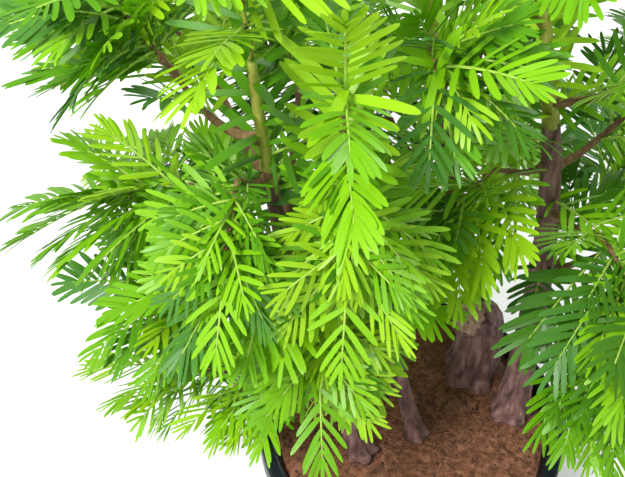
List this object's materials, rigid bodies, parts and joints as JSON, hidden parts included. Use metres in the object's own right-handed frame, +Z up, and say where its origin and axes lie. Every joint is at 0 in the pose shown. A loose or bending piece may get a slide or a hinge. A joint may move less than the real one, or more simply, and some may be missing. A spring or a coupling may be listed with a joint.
{
  "type": "dawn redwood bonsai",
  "caption": "Small potted dawn redwood clump: upright tapering stems, side boughs and flat feathery needle sprays over a round dark pot of brown soil",
  "frame": {"origin": "centre of the pot's flat underside", "axes": "+Z up along the stems, front of the picture toward -Y, +X to the viewer's right"},
  "size_m": [0.3943, 0.2885, 0.4257],
  "materials": {
    "pot": "near-black blue, satin moulded plastic",
    "soil": "loose brown coir and peat",
    "bark": "reddish-brown fibrous bark",
    "twig_bark": "thin brown twig bark",
    "needles": "soft green needles",
    "young_needles": "young yellow-green needles"
  },
  "bodies": {
    "root": {"pot": "pot", "soil": "soil", "stem_left": "bark", "stem_front": "bark", "stem_back": "bark", "stem_right": "bark", "bough_left_01": "twig_bark", "bough_left_02": "twig_bark", "bough_left_03": "twig_bark", "bough_left_04": "twig_bark", "bough_left_05": "twig_bark", "bough_left_06": "twig_bark", "bough_left_07": "twig_bark", "bough_left_08": "twig_bark", "bough_left_09": "twig_bark", "bough_front_10": "twig_bark", "bough_front_11": "twig_bark", "bough_front_12": "twig_bark", "bough_back_13": "twig_bark", "bough_back_14": "twig_bark", "bough_back_15": "twig_bark", "bough_back_16": "twig_bark", "bough_back_17": "twig_bark", "bough_right_18": "twig_bark", "bough_right_19": "twig_bark", "bough_right_20": "twig_bark", "bough_right_21": "twig_bark", "bough_right_22": "twig_bark", "bough_right_23": "twig_bark", "bough_right_24": "twig_bark", "bough_right_25": "twig_bark", "foliage_left_01": "needles", "foliage_left_02": "needles", "foliage_left_03": "needles", "foliage_left_04": "needles", "foliage_left_05": "needles", "foliage_left_06": "needles", "foliage_left_07": "needles", "foliage_left_08": "needles", "foliage_left_09": "needles", "foliage_front_10": "needles", "foliage_front_11": "needles", "foliage_front_12": "needles", "foliage_back_13": "needles", "foliage_back_14": "needles", "foliage_back_15": "needles", "foliage_back_16": "needles", "foliage_back_17": "needles", "foliage_right_18": "needles", "foliage_right_19": "needles", "foliage_right_20": "needles", "foliage_right_21": "needles", "foliage_right_22": "needles", "foliage_right_23": "needles", "foliage_right_24": "needles", "foliage_right_25": "needles", "foliage_left_top": "young_needles", "foliage_front_top": "young_needles", "foliage_back_top": "young_needles", "foliage_right_top": "young_needles"}
  },
  "joints": []
}
